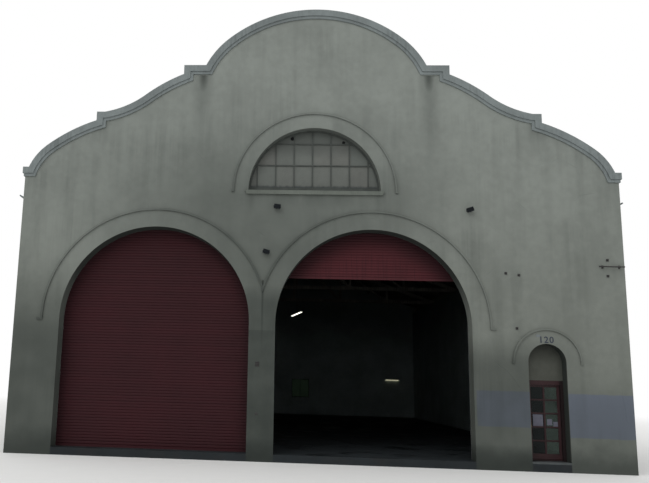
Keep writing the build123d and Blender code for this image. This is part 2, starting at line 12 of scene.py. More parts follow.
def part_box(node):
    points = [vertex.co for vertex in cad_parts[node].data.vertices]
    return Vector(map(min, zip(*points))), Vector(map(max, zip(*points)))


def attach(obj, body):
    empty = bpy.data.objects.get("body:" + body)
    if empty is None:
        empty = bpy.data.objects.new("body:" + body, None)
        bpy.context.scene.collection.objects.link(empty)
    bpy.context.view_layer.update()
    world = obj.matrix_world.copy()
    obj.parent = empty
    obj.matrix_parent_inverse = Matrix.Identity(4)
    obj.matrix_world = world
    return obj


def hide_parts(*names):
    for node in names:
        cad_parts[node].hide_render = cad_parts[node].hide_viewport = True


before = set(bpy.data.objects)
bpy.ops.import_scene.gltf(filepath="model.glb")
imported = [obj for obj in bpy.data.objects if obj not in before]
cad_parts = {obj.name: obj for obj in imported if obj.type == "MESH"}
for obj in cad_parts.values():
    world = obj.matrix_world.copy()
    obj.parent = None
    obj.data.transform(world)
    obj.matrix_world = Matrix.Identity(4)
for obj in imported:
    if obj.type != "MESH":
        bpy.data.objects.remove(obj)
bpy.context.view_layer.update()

bl_info = {
    "name": "Streetcar barn finishes",
    "version": (1, 0, 0),
    "blender": (4, 5, 0),
    "location": "View3D > Sidebar > Barn",
    "description": "Finishes and small pieces for a streetcar barn",
    "category": "Object",
}


def low(node):
    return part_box(node)[0]


def high(node):
    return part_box(node)[1]


# Places read from the frame
front_y = low("front_gable").y
back_y = high("front_gable").y
rear_y = low("rear_wall").y
half_width = high("front_gable").x
inner_x = high("floor_slab").x
floor_foot_z = low("floor_slab").z
course_z = low("front_gable").z
spring_z = high("front_left_pier").z
left_jamb_x = high("front_left_pier").x
right_jamb_x = low("front_right_pier").x
pier_x = (low("front_middle_pier").x + high("front_middle_pier").x) / 2
sill_low, sill_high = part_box("lunette_sill")
leaf_low, leaf_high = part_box("door_leaf")
door_left_x = high("front_right_pier").x
door_right_x = low("front_corner_pier").x
leaf_x = (leaf_low.x + leaf_high.x) / 2
door_x = (door_left_x + door_right_x) / 2
slope_high = high("roof_slope_right")
eaves_z = max(vert.co.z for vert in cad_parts["roof_slope_right"].data.vertices
              if vert.co.x > slope_high.x - 0.001)
fall = (slope_high.z - eaves_z) / slope_high.x
# The roof sheets lie in courses from the ridge to past the eaves
COURSES = 3
ridge_x = 0.06
course = (slope_high.x + 0.05 - ridge_x) / COURSES
sheets_start_y = back_y + 0.002
sheets_run = slope_high.y - sheets_start_y


def srgb(red, green, blue):
    """A colour as it looks on screen, 0 to 255, turned into the linear values of a shader."""
    parts = [value / 255 for value in (red, green, blue)]
    return tuple(p / 12.92 if p <= 0.04045 else ((p + 0.055) / 1.055) ** 2.4 for p in parts)


def tint(name, *value):
    return FloatVectorProperty(name=name, default=value, subtype="COLOR", size=3, min=0, max=1)


def paint(name, red, green, blue):
    return tint(name, *srgb(red, green, blue))


def length(name, value):
    return FloatProperty(name=name, default=value, unit="LENGTH", subtype="DISTANCE")


def place(name, *value):
    return FloatVectorProperty(name=name, default=value, size=len(value), unit="LENGTH")


def angle(name, degrees):
    return FloatProperty(name=name, default=radians(degrees), unit="ROTATION")


class BarnPlaster(PropertyGroup):
    upper: paint("Wall near the parapet", 125, 130, 125)
    lower: paint("Wall near the street", 111, 115, 109)
    # Also the colour that painted shade goes toward, round the gateways, in the door's inset, on the
    # beads and high inside.
    grime_and_shade: paint("Grime from rain and traffic", 50, 55, 52)
    patch: paint("Lilac-grey cover paint", 99, 106, 121)
    coping: paint("Moulded coping", 114, 121, 121)
    sill: paint("Window sill", 96, 101, 95)
    hall: paint("Sooty limewash inside", 178, 190, 190)
    left_patch: place("Foot and top of the left cover paint", 1.12, 2.05)
    right_patch: place("Foot and top of the right cover paint", 0.89, 2.02)
    ear: place("Upper ear, from the axis and up", 3.27, 10.95)
    kneeler: place("Kneeler, from the axis and up", 6.25, 9.5)
    fork_z: length("Where the beads of the arches meet", 4.6)


class BarnShutter(PropertyGroup):
    paint: paint("Dark red paint", 63, 28, 32)
    faded: paint("Paint chalked by the sun", 82, 38, 43)
    # Also the colour that the painted shade on the curtains goes toward.
    dirt_and_shade: paint("Soot in the hinges of the slats", 25, 14, 18)
    steel: paint("Guides, coils and brackets", 50, 50, 52)
    slat: length("Height of a slat", 0.08)


class BarnWindow(PropertyGroup):
    pane: paint("Paint over the glass", 91, 96, 92)
    pane_warm: paint("Panes with a pinkish coat", 95, 97, 93)
    bars: paint("Paint on the sash bars", 67, 71, 68)
    foot: paint("Dirt along the lowest rail", 57, 62, 61)
    rear_glass: tint("Sooty glass of the rear window", 0.004, 0.0065, 0.004)
    hole_radius: length("Radius of the holes in the panes", 0.055)
    pane_width: length("Width of a pane, from bar to bar", 0.53)
    pane_height: length("Height of a pane, from bar to bar", 0.65)
    first_bar: length("Lower bar above the sill", 0.815)


class BarnDoor(PropertyGroup):
    paint: paint("Paint of frame and leaf", 47, 27, 30)
    worn: paint("Where hands and rain wore it", 82, 56, 50)
    infill: paint("Painted board over the door", 75, 77, 71)
    glass: tint("Glass", 0.03, 0.04, 0.04)
    dusty_glass: tint("Glass with more dust", 0.22, 0.30, 0.25)
    notice: paint("Paper on the glass", 90, 91, 102)
    knob: tint("Brass", 0.22, 0.17, 0.09)


class BarnRoof(PropertyGroup):
    sheet: paint("Paint of the sheets", 122, 128, 122)
    rust: paint("Rust at laps and fixings", 110, 72, 50)
    gutter: paint("Gutter paint", 106, 116, 116)
    timber: paint("Darkened truss timber", 128, 124, 116)
    timber_dark: paint("Dark of the grain", 88, 84, 78)
    pitch: length("Distance between two waves", 0.076)
    depth: length("Height of a wave", 0.018)
    lap: length("Lap of one course over the next", 0.15)


class BarnFitting(PropertyGroup):
    housing: paint("Dark enamel of the floodlights", 26, 30, 34)
    lens: paint("Glass of the floodlights", 16, 20, 24)
    digits: paint("House digits", 38, 44, 60)
    plate: paint("Bare plate", 106, 112, 114)
    digits_text: StringProperty(name="Generic house digits", default="120")
    digit_height: length("Height of a digit", 0.168)
    digits_z: length("Digits above ground", 3.425)
    strip: place("Hung strip light", -0.135, -2.922, 5.116)
    strip_length: length("Hung strip light, length", 2.18)
    strip_turn: angle("Hung strip light, turn in plan", -80)
    rear_strip: place("Rear strip light, from the axis and up", 6.58, 2.57)
    rear_strip_length: length("Rear strip light, length", 0.9)


class BarnStage(PropertyGroup):
    camera: place("Camera", -1.002, -36.298, 2.034)
    yaw: angle("Turn to the right of +Y", -3.896)
    pitch: angle("Tilt above level", 10.578)
    roll: angle("Lean", 1.675)
    lens: FloatProperty(name="Focal length in millimetres", default=42.16)
    shift: FloatProperty(name="Sideways shift of the picture", default=0.15)
    ground: tint("Plain pale floor", 0.80, 0.80, 0.79)
    sky: FloatProperty(name="Strength of the even light", default=0.85)
    lamp: FloatProperty(name="Strength of the soft lamp", default=0.9)


class Value:
    """What a socket puts out, so that sums in a node tree are written as sums."""

    def __init__(self, nodes, socket):
        self.nodes, self.socket = nodes, socket

    def maths(self, operation, other=0.0, clamp=False):
        return self.nodes.maths(operation, self, other, clamp)

    __add__ = partialmethod(maths, "ADD")
    __sub__ = partialmethod(maths, "SUBTRACT")
    __mul__ = partialmethod(maths, "MULTIPLY")
    __truediv__ = partialmethod(maths, "DIVIDE")
    __abs__ = partialmethod(maths, "ABSOLUTE")
    __floor__ = partialmethod(maths, "FLOOR")

    def max(self, *others):
        """The largest of this value and the others."""
        value = self
        for other in others:
            value = value.maths("MAXIMUM", other)
        return value

    def fit(self, start, end, to_start=0.0, to_end=1.0):
        """The value, with start to end stretched smoothly to the new range and held there."""
        return self.nodes.add("MapRange", {0: self, 1: start, 2: end, 3: to_start, 4: to_end},
                              interpolation_type="SMOOTHSTEP")

    def mix(self, under, over):
        """One colour over another, by this amount."""
        return self.nodes.add("Mix", {0: self, 6: under, 7: over}, 2, data_type="RGBA")


class Nodes:
    """Short calls that add and join the nodes of one tree, with the place that they work from."""

    def __init__(self, tree):
        self.tree = tree

    def start_at(self, place):
        self.place = place
        self.x, self.y, self.z = self.xyz(place)

    def add(self, kind, sockets=None, out=0, **fields):
        """A node with its fields and what goes into it; returns what one socket puts out."""
        made = self.tree.nodes.new("ShaderNode" + kind)
        for name, value in fields.items():
            setattr(made, name, value)
        for key, value in (sockets or {}).items():
            self.join(value, made.inputs[key])
        return Value(self, made.outputs[out])

    def join(self, value, socket):
        if isinstance(value, Value):
            self.tree.links.new(value.socket, socket)
        elif socket.type == "RGBA" and len(value) == 3:
            socket.default_value = (*value, 1)
        else:
            socket.default_value = value

    def maths(self, operation, first, second=0.0, clamp=False):
        return self.add("Math", {0: first, 1: second}, operation=operation, use_clamp=clamp)

    def xyz(self, place):
        parts = self.add("SeparateXYZ", {0: place}).socket.node.outputs
        return [Value(self, part) for part in parts]

    def combine(self, x, y, z=0.0):
        return self.add("CombineXYZ", {0: x, 1: y, 2: z})

    def up(self):
        """How far the surface faces up, from -1 to 1."""
        return self.xyz(self.add("NewGeometry", out="Normal"))[2]

    def noise(self, size, detail=4.0, roughness=0.55, place=None):
        """Cloudy noise whose patches are about this size."""
        return self.add("TexNoise", {"Vector": place or self.place, "Detail": detail,
                                     "Scale": self.maths("DIVIDE", 1.0, size), "Roughness": roughness})

    def pick(self, column, row):
        """A random number for each whole column and row."""
        place = self.combine(floor(column), floor(row))
        return self.add("TexWhiteNoise", {"Vector": place}, noise_dimensions="2D")

    def stretch(self, across, along):
        """The place, scaled so that noise runs in upright streaks."""
        return self.add("VectorMath", {0: self.place, 1: self.combine(across, across, along)},
                        operation="DIVIDE")

    def use(self, group, *values, place=None):
        """A shared effect, with values in the order in which its maker names them."""
        return self.add("Group", dict(enumerate((place or self.place, *values))),
                        node_tree=bpy.data.node_groups[group])


class Effect(Nodes):
    """A shared node group under way: it takes a position and named values and puts out one mask."""

    def __init__(self, name, **values):
        super().__init__(bpy.data.node_groups.new(name, "ShaderNodeTree"))
        new_socket = self.tree.interface.new_socket
        new_socket("Position", in_out="INPUT", socket_type="NodeSocketVector")
        for label, default in values.items():
            new_socket(label, in_out="INPUT", socket_type="NodeSocketFloat").default_value = default
        new_socket("Mask", in_out="OUTPUT", socket_type="NodeSocketFloat")
        place, *taken = self.tree.nodes.new("NodeGroupInput").outputs
        for label, socket in zip(values, taken):
            setattr(self, label.lower(), Value(self, socket))
        self.start_at(Value(self, place))

    def put(self, mask):
        self.join(mask, self.tree.nodes.new("NodeGroupOutput").inputs[0])


class Finish(Nodes):
    """A material under way, worked from the object's own coordinates."""

    def __init__(self, name, roughness=0.7, metallic=0.0, gloss=0.3):
        self.material = bpy.data.materials.new(name)
        self.material.use_nodes = True
        super().__init__(self.material.node_tree)
        self.surface = self.tree.nodes["Principled BSDF"]
        self.start_at(self.add("TexCoord", out="Object"))
        self.give(Roughness=roughness, Metallic=metallic, Specular_IOR_Level=gloss)

    def give(self, **values):
        """Values for the surface shader; socket names have _ for a space."""
        for key, value in values.items():
            self.join(value, self.surface.inputs[key.replace("_", " ")])
        return self

    def done(self, colour, height, depth, **values):
        """The finish with its colour, and bump from a height that runs from 0 to 1."""
        bump = self.add("Bump", {"Height": height, "Distance": depth})
        return self.give(Base_Color=colour, Normal=bump, **values)

    def wear(self, base, size, amount):
        """A colour made lighter and darker in patches of two sizes."""
        mottle = self.use("Clouds", size, 2.4) * 0.65 + self.use("Clouds", size / 9, 2.0) * 0.35
        value = mottle.fit(0.15, 0.85, 1 - amount, 1 + amount)
        grey = self.add("CombineColor", {0: value, 1: value, 2: value})
        return self.add("Mix", {0: 1.0, 6: base, 7: grey}, 2, data_type="RGBA", blend_type="MULTIPLY")


def make_clouds():
    """Broad uneven patches, as sun, rain and repainting leave them."""
    clouds = Effect("Clouds", Size=1.0, Contrast=2.0)
    spread = (clouds.noise(clouds.size, detail=6) - 0.5) * clouds.contrast
    clouds.put(spread.maths("ADD", 0.5, clamp=True))


def make_runs(name, width, length, roughness, *fit):
    """Upright runs, of dirt that rain has drawn down a wall or of the grain in wood."""
    runs = Effect(name, Width=width, Length=length)
    runs.put(runs.noise(1.0, 3, roughness, runs.stretch(runs.width, runs.length)).fit(*fit))


def make_stain():
    """A streaked stain that starts under an edge and fades downward."""
    stain = Effect("Stain", Middle=0.0, Reach=0.3, Top=1.0, Length=1.0)
    side = (abs(stain.x - stain.middle) / stain.reach).fit(1.0, 0.0)
    drop = (stain.top - stain.z) / stain.length
    fade = drop.fit(1.0, 0.0) * drop.fit(-0.01, 0.01)
    run = stain.noise(1.0, 3, place=stain.stretch(0.28, 2.6))
    stain.put(side * (fade * run.fit(0.15, 0.65)))


def make_gateway_soot():
    """Darker patches low on the walls, on the piers and over the twin gateways: smoke staining from
    traffic together with painted shade.
    """
    soot_and_shade = Effect("Gateway soot and shade", Strength=1.0)
    right_pier_x = (right_jamb_x + door_left_x) / 2
    left_pier_x = (left_jamb_x - half_width) / 2
    mask = 0.0
    for middle, full, reach, top, fall, strength in (
            (pier_x, 0.5, 7.0, 10.8, 3.8, 0.52),
            (pier_x, 0.5, 1.7, spring_z + 1.9, 1.4, 0.78),
            (pier_x, 0.5, 1.7, spring_z - 0.1, 0.12, 0.87),
            (pier_x, 0.5, 1.7, 1.9, 1.6, 0.97),
            (right_pier_x, 0.7, 2.3, spring_z, 1.1, 0.60),
            (right_pier_x, 0.7, 2.3, 1.4, 1.2, 0.90),
            (left_pier_x, 0.7, 2.3, spring_z + 2.2, 3.0, 0.70)):
        around = abs(soot_and_shade.x - middle).fit(reach, full) * soot_and_shade.z.fit(top, top - fall)
        mask = (around * strength).max(mask)
    mask *= soot_and_shade.y.fit(back_y + 0.4, back_y + 0.1)
    mask = mask.max(soot_and_shade.z.fit(3.4, 1.2, 0.0, 0.42))
    mask *= soot_and_shade.noise(0.8, 6).fit(0.3, 0.7, 0.9, 1.05)
    soot_and_shade.put(mask.maths("MULTIPLY", soot_and_shade.strength, clamp=True))


def make_painted_patch():
    """A rolled-on rectangle of paint with uneven edges."""
    patch = Effect("Painted patch", Left=0.0, Right=1.0, Foot=0.0, Top=1.0)
    wobble = (patch.noise(0.25) - 0.5) * 0.07
    x, z = patch.x + wobble, patch.z + wobble
    mask = patch.y.fit(front_y + 0.02, front_y + 0.01)
    for inside in (x - patch.left, patch.right - x, z - patch.foot, patch.top - z):
        mask *= inside.fit(-0.012, 0.012)
    patch.put(mask)


def make_hairlines():
    """Fine cracks in old plaster, here and there."""
    cracks = Effect("Hairlines", Size=1.4)
    bend = cracks.add("TexNoise", {"Vector": cracks.place, "Scale": 1.3, "Detail": 6.0}, 1)
    bent = cracks.add("Mix", {0: 0.22, 4: cracks.place, 5: bend}, 1, data_type="VECTOR")
    scale = cracks.maths("DIVIDE", 1.0, cracks.size)
    cells = cracks.add("TexVoronoi", {"Vector": bent, "Scale": scale}, feature="DISTANCE_TO_EDGE")
    cracks.put(cells.fit(0.006, 0.0) * cracks.noise(2.2).fit(0.56, 0.64))


def make_settled_dust():
    """Dust on whatever faces up."""
    dust = Effect("Settled dust", Size=0.3)
    dust.put(dust.up().fit(0.3, 0.9) * dust.noise(dust.size).fit(0.3, 0.7, 0.5, 1.0))


def make_inside():
    """The faces of walls and roof that are inside the hall."""
    hall = Effect("Inside")
    edge = 0.004
    across = abs(hall.x).fit(inner_x + edge, inner_x + edge / 2)
    front = hall.y.fit(back_y - edge, back_y - edge / 2)
    hall.put(across * (front * hall.y.fit(rear_y + edge, rear_y + edge / 2)))


def weathered_wall(finish, plan, size, amount):
    """The wall's paint, darker toward the street: soiling together with painted shade."""
    return finish.wear(finish.z.fit(1.5, 10.5).mix(plan.lower, plan.upper), size, amount)


def finish_plaster(plan):
    """Old painted plaster: clouds, rain streaks, stains, cover paint, cracks, street soiling and painted
    shade.
    """
    wall = Finish("wall plaster", 0.88, gloss=0.15)
    x, y, z = wall.x, wall.y, wall.z
    tone = weathered_wall(wall, plan, 1.8, 0.10)
    for (foot, top), left, right in ((plan.left_patch, right_jamb_x + 0.06, door_left_x),
                                     (plan.right_patch, door_right_x, half_width)):
        patch = wall.use("Painted patch", left, right, foot, top)
        tone = (patch * 0.85).mix(tone, plan.patch)
    gate = wall.use("Clouds", 2.6, 3.0)
    dirt_and_shade = (wall.use("Streaks", 0.32, 4.0) * gate.fit(0.2, 0.9, 0.06, 0.18)
            + wall.use("Streaks", 0.07, 2.2) * gate.fit(0.5, 1.0, 0.0, 0.10))
    folded = wall.combine(abs(x), y, z)
    for (middle, top), width, run, strength in (
            (plan.ear, 0.26, 1.0, 0.75),
            (plan.ear, 0.45, 3.6, 0.34),
            (plan.kneeler, 0.42, 1.2, 0.4),
            ((half_width - 0.2, course_z + 0.9), 0.7, 3.0, 0.2),
            ((sill_high.x - 0.1, sill_low.z), 0.3, 0.9, 0.35),
            ((0.0, sill_low.z), sill_high.x + 0.6, 0.5, 0.28)):
        stain = wall.use("Stain", middle, width, top, run, place=folded)
        dirt_and_shade = dirt_and_shade.max(stain * strength)
    # Darker at the foot of the wall: splash soiling together with painted ground shade.
    splash_and_shade = (z + wall.noise(0.5) * -0.7).fit(0.55, -0.25, 0.0, 0.6)
    # Painted shade in the door's inset, where its sides lie in shadow.
    recess_shade = (x.fit(door_left_x - 0.02, door_left_x) * x.fit(door_right_x + 0.02, door_right_x)
              * y.fit(front_y + 0.01, front_y + 0.05) * y.fit(back_y + 0.1, back_y))
    seam = wall.use("Stain", pier_x, 0.05, plan.fork_z + 0.3, 2.4)
    # Painted shade on faces that look down, such as the undersides of the arches.
    soffit_shade = wall.up().fit(-0.05, -0.6) * y.fit(front_y + 0.01, front_y + 0.03)
    cracks = wall.use("Hairlines", 1.5)
    # Stains, splash and cracks taken together with the painted shade.
    dirt_and_shade = dirt_and_shade.max(splash_and_shade, recess_shade * 0.9, seam * 0.75, soffit_shade * z.fit(6.5, 7.2, 0.9, 0.3), cracks * 0.12)
    # Painted shade with smoke staining round the gateways and low down.
    tone = wall.use("Gateway soot and shade").mix(tone, plan.grime_and_shade)
    tone = dirt_and_shade.mix(tone, tuple(part * 0.7 for part in plan.grime_and_shade))
    hall = wall.wear(plan.hall, 1.2, 0.12)
    # Inside, darker toward the roof: smoke staining together with painted shade.
    hall = z.fit(3.6, 7.2, 0.0, 0.7).mix(hall, plan.grime_and_shade)
    sand, trowel = wall.noise(0.012, 2), wall.noise(0.45, 3)
    return wall.done(wall.use("Inside").mix(tone, hall), sand * 0.25 + trowel - cracks * 0.3, 0.012)


def finish_moulding(name, base, grime_and_shade, streak_width):
    """Cast cement mouldings: paler, with grime on their tops and in short runs."""
    cast = Finish(name, 0.84, gloss=0.2)
    gate = cast.use("Clouds", 1.3, 3.5)
    dirt_and_shade = cast.use("Streaks", streak_width, 0.7) * gate.fit(0.25, 0.9, 0.04, 0.28)
    dirt_and_shade = dirt_and_shade.max(cast.use("Settled dust", 0.25) * 0.55)
    return cast.done(dirt_and_shade.mix(cast.wear(base, 1.1, 0.12), grime_and_shade), cast.noise(0.05, 5), 0.006)


def finish_bead(plan):
    """The wall's own paint on the raised beads, darker along their tops and outer edges, and darker all
    over with painted shade.
    """
    bead = Finish("bead plaster", 0.86, gloss=0.15)
    # Painted shade: a floor of 0.3 and the gateway darkening, raised, keep the beads darker than the
    # wall.
    dirt_and_shade = (bead.use("Settled dust", 0.2) * 0.8).max(
        bead.use("Streaks", 0.03, 0.4) * 0.2, 0.3, bead.use("Gateway soot and shade").fit(0.0, 1.0, 0.3, 1.1))
    tone = dirt_and_shade.mix(weathered_wall(bead, plan, 0.9, 0.12), plan.grime_and_shade)
    return bead.done(tone, bead.noise(0.05, 5), 0.004)


def finish_shutter(plan):
    """Dark red paint on slats: each slat a little different, chalky, with smoke stain and painted shade
    in the hinges, and painted shade on the left curtain, under the arch and at the foot.
    """
    slats = Finish("shutter paint", 0.6, gloss=0.12)
    x, y, z = slats.x, slats.y, slats.z
    row = slats.add("TexWhiteNoise", {"W": floor(z / plan.slat)}, noise_dimensions="1D")
    chalk = slats.use("Clouds", 1.6, 2.6) * 0.5 + row * 0.25
    # Painted shade: the left curtain, the rim under the arch, the foot and the slat hinges go toward the
    # darkest colour.
    left_shade = x.fit(pier_x + 0.2, pier_x - 0.2, 0.0, 0.55)
    reach = (right_jamb_x - high("front_middle_pier").x) / 2
    off = abs(x - pier_x) - (right_jamb_x - reach - pier_x)
    over = (z - spring_z).max(0.0)
    edge_shade = (off * off + over * over).maths("SQRT").fit(reach - 0.8, reach, 0.0, 0.7)
    foot_shade = z.fit(floor_foot_z + 0.9, floor_foot_z + 0.15, 0.0, 0.45)
    hinge_shade = y.fit(back_y + 0.024, back_y + 0.036, 0.0, 0.2)
    runs = slats.use("Streaks", 0.05, 1.2) * 0.4
    dirt_and_shade = runs.max(left_shade, edge_shade, foot_shade, hinge_shade)
    tone = dirt_and_shade.mix(chalk.mix(plan.paint, plan.faded), plan.dirt_and_shade)
    return slats.done(tone, slats.noise(0.03, 2), 0.0015, Roughness=chalk.fit(0.0, 1.0, 0.48, 0.72))


def finish_steel(name, base, worn, roughness=0.5, size=0.25, gloss=0.3, dust=0.4):
    """Painted steel with scuffs down to a worn coat and settled dust."""
    steel = Finish(name, roughness, gloss=gloss)
    scuffs = steel.noise(size / 3, 8, 0.7).fit(0.6, 0.68, 0.0, 0.6)
    tone = scuffs.mix(steel.wear(base, size, 0.16), worn)
    dusty = steel.use("Settled dust", size) * dust
    return steel.done(dusty.mix(tone, srgb(120, 116, 108)), steel.noise(size / 12, 2), 0.0008,
                      Roughness=scuffs.fit(0.0, 0.6, roughness, min(1, roughness + 0.25)))


def finish_panes(plan):
    """Glass painted over: each pane coated a little differently, darker at its top and foot."""
    panes = Finish("painted panes", 0.45, gloss=0.2)
    top_z, z = sill_high.z, panes.z
    pick = panes.pick(panes.x / plan.pane_width, (z - (top_z + plan.first_bar)) / plan.pane_height)
    tone = panes.wear(pick.mix(plan.pane, plan.pane_warm), 0.4, 0.07)
    high_up = z.fit(top_z + 0.95, top_z + 1.42, 0.0, 0.6)
    low_down = (z + panes.noise(0.12) * 0.1).fit(top_z + 0.30, top_z + 0.21)
    dirt_and_shade = (panes.use("Streaks", 0.15, 0.8) * 0.08).max(high_up)
    tone = low_down.mix(dirt_and_shade.mix(tone, plan.bars), plan.foot)
    return panes.done(tone, panes.noise(0.3, 1), 0.002)


def finish_glass(name, clean_tint, dusty_tint, clear=1.0, density=1.2, blur=0.0):
    """Old clear glass, a little wavy, with a film of dust, thicker right of the door's middle."""
    glass = Finish(name)
    film = glass.use("Clouds", 0.4, 1.2)
    tone = (film * glass.x.fit(leaf_x - 0.01, leaf_x + 0.01)).mix(clean_tint, dusty_tint)
    glass.give(IOR=density, Transmission_Weight=clear)
    return glass.done(tone, glass.noise(0.3, 1), 0.0004,
                      Roughness=film.fit(0.0, 1.0, blur + 0.02, blur + 0.06))


def finish_timber(name, plan, turned=False):
    """Sawn timber with grain along the piece."""
    timber = Finish(name, 0.8)
    if turned:
        timber.place = timber.combine(timber.z, timber.x, timber.y)
    grain = timber.use("Grain", 0.02, 1.4)
    tone = timber.wear(grain.mix(plan.timber_dark, plan.timber), 0.7, 0.18)
    return timber.done(tone, grain, 0.002)


def finish_door_paint(plan):
    """Red-brown oil paint on wood: grain shows through, worn low down, with painted shade at one side."""
    door = Finish("door paint", 0.45, gloss=0.2)
    grain = door.use("Grain", 0.008, 0.35)
    tone = door.wear((grain * 0.35).mix(plan.paint, (0.02, 0.008, 0.007)), 0.35, 0.14)
    worn = door.noise(0.07, 8, 0.7).fit(0.6, 0.66)
    tone = (worn * door.z.fit(0.9, 0.3, 0.15, 0.8)).mix(tone, plan.worn)
    # Painted shade: the right stile goes darker where the door's inset lies in shadow.
    darkened = door.x.fit(leaf_high.x - 0.05, leaf_high.x, 0.0, 0.85)
    return door.done(darkened.mix(tone, srgb(26, 20, 21)), grain, 0.0006,
                     Roughness=worn.fit(0.0, 1.0, 0.38, 0.7))


def finish_infill(plan):
    """Painted board, with painted shade toward its top and edges."""
    board = Finish("infill board", 0.8, gloss=0.15)
    # Painted shade from the arch over the board, at the top and sides.
    arch_shade = board.z.fit(2.75, 3.35, 0.0, 0.55).max(abs(board.x - door_x).fit(0.3, 0.5, 0.0, 0.4))
    tone = arch_shade.mix(board.wear(plan.infill, 0.3, 0.1), srgb(50, 52, 48))
    return board.done(tone, board.noise(0.04, 3), 0.001)


def finish_concrete(name, base, stain):
    """Trowelled concrete with oil stains and wheel dirt."""
    slab = Finish(name)
    oil = slab.noise(1.1, 5).fit(0.5, 0.66, 0.0, 0.8)
    return slab.done(oil.mix(slab.wear(base, 0.9, 0.2), stain), slab.noise(0.04, 6), 0.003,
                     Roughness=oil.fit(0.0, 0.8, 0.75, 0.45))


def finish_roof_sheet(plan):
    """Painted corrugated sheet: dull, with rust that creeps from laps and down the waves."""
    sheet = Finish("roof sheet", 0.6)
    sheet_width = plan.pitch * 10
    pick = sheet.pick(sheet.x / course, sheet.y / sheet_width)
    tone = pick.fit(0.0, 1.0, 0.0, 0.22).mix(sheet.wear(plan.sheet, 1.5, 0.14), srgb(92, 96, 90))
    down_slope = sheet.combine(sheet.y, 0.0, sheet.x)
    rusty = (sheet.use("Streaks", 0.12, 2.2, place=down_slope)
             * sheet.use("Clouds", 2.0, 3.4).fit(0.45, 0.95, 0.0, 0.75))
    return sheet.done(rusty.mix(tone, plan.rust), sheet.noise(0.02, 3), 0.0006,
                      Roughness=rusty.fit(0.0, 0.7, 0.5, 0.85))


def finish_brass(plan):
    """Brass, dull and fingered."""
    brass = Finish("brass", metallic=1.0)
    tarnish = brass.use("Clouds", 0.03, 2.5)
    return brass.give(Base_Color=tarnish.mix(plan.knob, (0.08, 0.06, 0.04)),
                      Roughness=tarnish.fit(0.0, 1.0, 0.28, 0.6))


def finish_tube(name, light, strength):
    """A glowing tube, a little uneven along its length."""
    tube = Finish(name, 0.5)
    glow = tube.use("Clouds", 0.1, 1.2).mix(light, tuple(part * 0.85 for part in light))
    return tube.give(Base_Color=glow, Emission_Color=glow, Emission_Strength=strength)


def finish_paint(name, base, roughness=0.6, size=0.05, gloss=0.3):
    """Plain paint or paper, a little uneven."""
    flat = Finish(name, roughness, gloss=gloss)
    return flat.done(flat.wear(base, size, 0.12), flat.noise(size / 6, 2), 0.0004)


def coat(finish, *nodes):
    """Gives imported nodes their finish."""
    for name in nodes:
        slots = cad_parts[name].data.materials
        slots.clear()
        slots.append(finish.material)


def add_object(name, data):
    made = bpy.data.objects.new(name, data)
    bpy.context.scene.collection.objects.link(made)
    return made


def on_front(x, z, out=0.0, turn=0.0, axis="X"):
    """A place on the street front, or out from it and turned; local -Y points at the street."""
    return Matrix.Translation((x, front_y - out, z)) @ Matrix.Rotation(radians(turn), 4, axis)


def circle(count):
    """Angles spaced evenly round a full turn."""
    return [2 * pi * i / count for i in range(count)]


